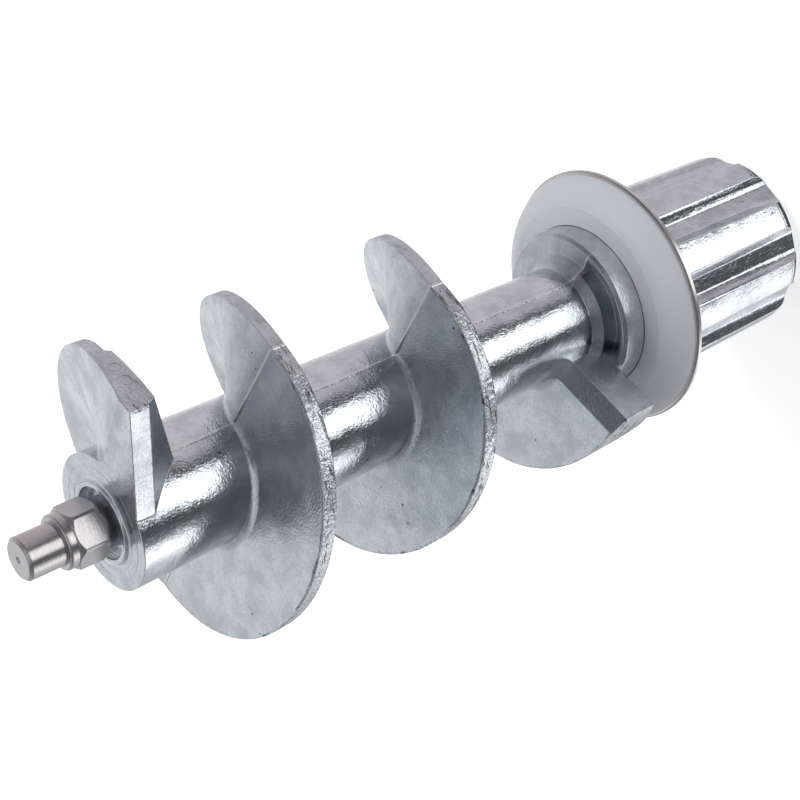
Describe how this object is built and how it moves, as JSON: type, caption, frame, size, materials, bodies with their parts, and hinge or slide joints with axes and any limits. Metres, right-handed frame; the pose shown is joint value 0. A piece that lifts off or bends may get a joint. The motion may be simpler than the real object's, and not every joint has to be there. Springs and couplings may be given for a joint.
{
  "type": "meat grinder auger",
  "caption": "Tapered left-hand feed screw of a meat grinder: cast flight with leaning half turns, hexagonal knife seat and round journal in front, thrust ring and lobed drive hub behind.",
  "frame": {"origin": "centre of the flat end face of the drive hub, on the axis of the screw", "axes": "+Z along the axis from the drive end to the spindle tip, X along the parting plane of the casting towards the front tooth"},
  "size_m": [0.0564, 0.0559, 0.1622],
  "materials": {
    "cast_aluminium": "bright die cast skin, satin on the flight and glossier on the shaft",
    "turned_steel": "finely turned satin steel",
    "ring_plastic": "white moulded plastic with a soft sheen",
    "washer_steel": "dull rolled steel with a bright edge"
  },
  "bodies": {
    "root": {"auger_body": "cast_aluminium", "knife_spindle": "turned_steel", "thrust_ring": "ring_plastic", "backing_washer": "washer_steel"}
  },
  "joints": []
}
